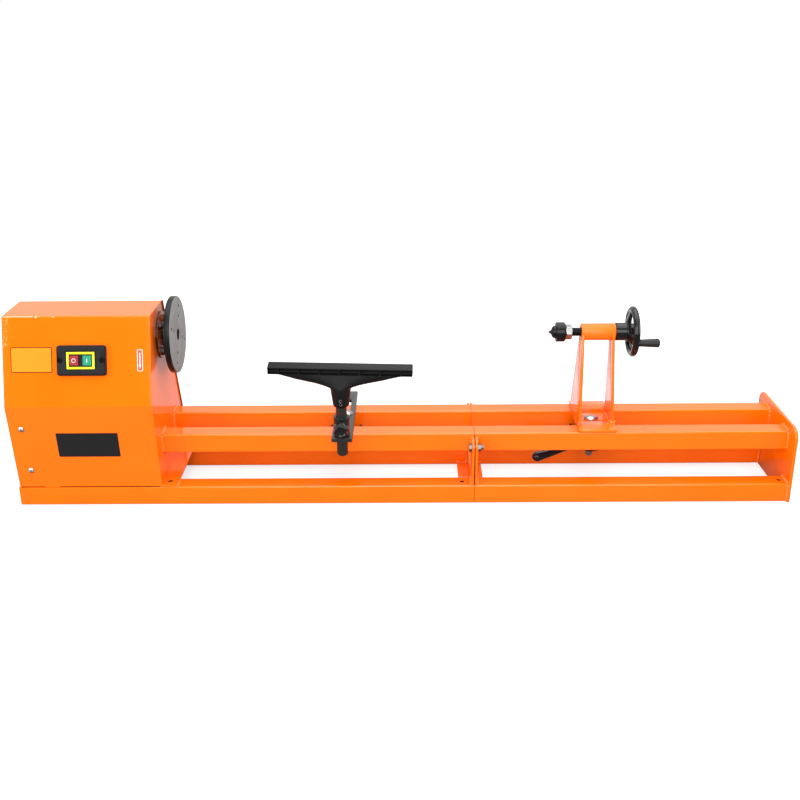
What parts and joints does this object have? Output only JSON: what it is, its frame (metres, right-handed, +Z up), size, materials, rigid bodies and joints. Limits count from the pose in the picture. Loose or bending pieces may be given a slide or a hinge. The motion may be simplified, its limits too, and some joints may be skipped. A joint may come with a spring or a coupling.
{
  "type": "benchtop wood lathe",
  "caption": "Bench lathe for wood turning: sheet headstock with faceplate, twin square-tube bed, sliding tool rest, screw-fed tailstock with live centre.",
  "frame": {"origin": "on the bench plane, centre of the corner bench holes, under the joint between the two bed halves", "axes": "+X along the bed from headstock to tailstock, +Y to the rear, +Z up"},
  "size_m": [1.3765, 0.2471, 0.3575],
  "materials": {
    "orange_paint": "gloss powder coat",
    "zinc": "zinc plated",
    "bright_steel": "bare ground steel",
    "black_steel": "black oxide",
    "black_paint": "gloss black paint",
    "cast_iron": "dark casting",
    "alloy": "cast aluminium",
    "black_plastic": "matte",
    "gloss_black_plastic": "gloss",
    "yellow_plastic": "gloss",
    "red_plastic": "gloss",
    "green_plastic": "gloss",
    "belt_rubber": "matte"
  },
  "bodies": {
    "bed": {"left_front_rail": "orange_paint", "left_rear_rail": "orange_paint", "right_front_rail": "orange_paint", "right_rear_rail": "orange_paint", "left_front_beam": "orange_paint", "left_rear_beam": "orange_paint", "right_front_beam": "orange_paint", "right_rear_beam": "orange_paint", "left_joint_plate": "orange_paint", "right_joint_plate": "orange_paint", "joint_fasteners": "zinc", "end_plate": "orange_paint", "headstock_wall": "orange_paint", "headstock_side": "orange_paint", "headstock_cover": "orange_paint", "headstock_fasteners": "zinc", "panel_screws": "zinc", "motor_plate": "black_paint", "motor_body": "alloy", "spindle_housing": "black_steel", "spindle_bearings": "bright_steel", "drive_belt": "belt_rubber", "switch_plate": "black_plastic", "switch_bezel": "yellow_plastic", "switch_body": "black_plastic", "cable_gland": "black_plastic"},
    "spindle": {"spindle": "black_steel", "spindle_pulley": "alloy", "faceplate": "cast_iron"},
    "rotor": {"motor_shaft": "bright_steel", "motor_pulley": "alloy"},
    "start_button": {"start_button": "green_plastic"},
    "stop_button": {"stop_button": "red_plastic"},
    "rest_saddle": {"rest_clamp_bolt": "zinc", "rest_clamp_plate": "black_paint"},
    "rest_clamp_knob": {"rest_clamp_knob": "black_plastic"},
    "slot_guide": {"slot_guide": "bright_steel"},
    "banjo": {"banjo_bar": "bright_steel", "post_socket": "bright_steel"},
    "lock_knob": {"lock_knob": "black_plastic"},
    "rest_post": {"rest_post": "bright_steel"},
    "rest_head": {"tool_rest": "cast_iron", "rest_set_screws": "black_steel"},
    "tailstock": {"tailstock_base": "orange_paint", "left_leg": "orange_paint", "right_leg": "orange_paint", "tailstock_barrel": "orange_paint", "tail_clamp_bolt": "zinc", "tail_clamp_plate": "black_paint"},
    "clamp_lever": {"tail_clamp_lever": "black_paint", "lever_cap_nut": "zinc", "lever_grip": "gloss_black_plastic"},
    "centre_carrier": {"centre_bearing": "bright_steel"},
    "live_centre": {"live_centre": "black_steel"},
    "screw": {"feed_screw": "black_steel", "lock_nut": "zinc", "handwheel": "black_paint", "crank_pin": "bright_steel"},
    "crank_handle": {"crank_handle": "gloss_black_plastic"}
  },
  "joints": [
    {"name": "spindle_turn", "type": "hinge", "parent": "bed", "child": "spindle", "pos_m": [-0.59, 0, 0.289], "axis": [1, 0, 0], "continuous": true},
    {"name": "motor_turn", "type": "hinge", "parent": "bed", "child": "rotor", "pos_m": [-0.64, 0, 0.105], "axis": [1, 0, 0], "continuous": true},
    {"name": "start_push", "type": "slide", "parent": "bed", "child": "start_button", "axis": [0, 0.9512, -0.3085], "range_m": [0, 0.003], "stiffness_N_per_m": 400, "springref_m": -0.001},
    {"name": "stop_push", "type": "slide", "parent": "bed", "child": "stop_button", "axis": [0, 0.9512, -0.3085], "range_m": [0, 0.003], "stiffness_N_per_m": 400, "springref_m": -0.001},
    {"name": "rest_slide", "type": "slide", "parent": "bed", "child": "rest_saddle", "axis": [1, 0, 0], "range_m": [-0.15, 0.2]},
    {"name": "rest_clamp_turn", "type": "hinge", "parent": "rest_saddle", "child": "rest_clamp_knob", "pos_m": [-0.2335, 0.008, 0.072], "axis": [0, 0, 1], "range_deg": [0, 720]},
    {"name": "banjo_swing", "type": "hinge", "parent": "rest_saddle", "child": "slot_guide", "pos_m": [-0.2335, 0.008, 0.127], "axis": [0, 0, 1], "range_deg": [-18, 18]},
    {"name": "banjo_reach", "type": "slide", "parent": "slot_guide", "child": "banjo", "axis": [0, 1, 0], "range_m": [-0.05, 0.005]},
    {"name": "lock_knob_turn", "type": "hinge", "parent": "banjo", "child": "lock_knob", "pos_m": [-0.2335, -0.115, 0.1517], "axis": [0, 1, 0], "range_deg": [0, 720]},
    {"name": "rest_height", "type": "slide", "parent": "banjo", "child": "rest_post", "axis": [0, 0, 1], "range_m": [-0.015, 0.045]},
    {"name": "rest_turn", "type": "hinge", "parent": "rest_post", "child": "rest_head", "pos_m": [-0.2335, -0.092, 0.2], "axis": [0, 0, 1], "range_deg": [-90, 90]},
    {"name": "tailstock_slide", "type": "slide", "parent": "bed", "child": "tailstock", "axis": [1, 0, 0], "range_m": [-0.15, 0.28]},
    {"name": "clamp_lever_swing", "type": "hinge", "parent": "tailstock", "child": "clamp_lever", "pos_m": [0.218, 0, 0.07], "axis": [0, 0, 1], "range_deg": [-15, 60]},
    {"name": "screw_feed", "type": "slide", "parent": "tailstock", "child": "centre_carrier", "axis": [1, 0, 0], "range_m": [0, 0.016]},
    {"name": "handwheel_turn", "type": "hinge", "parent": "centre_carrier", "child": "screw", "pos_m": [0.23, 0, 0.289], "axis": [1, 0, 0], "range_deg": [0, 2880]},
    {"name": "live_centre_spin", "type": "hinge", "parent": "centre_carrier", "child": "live_centre", "pos_m": [0.15, 0, 0.289], "axis": [1, 0, 0], "continuous": true},
    {"name": "crank_handle_spin", "type": "hinge", "parent": "screw", "child": "crank_handle", "pos_m": [0.3, -0.03687, 0.27981], "axis": [1, 0, 0], "continuous": true}
  ],
  "couplings": [
    {"joint": "motor_turn", "follows": "spindle_turn", "ratio": 1.6},
    {"joint": "screw_feed", "follows": "handwheel_turn", "m_per_rad": 0.00031831}
  ]
}
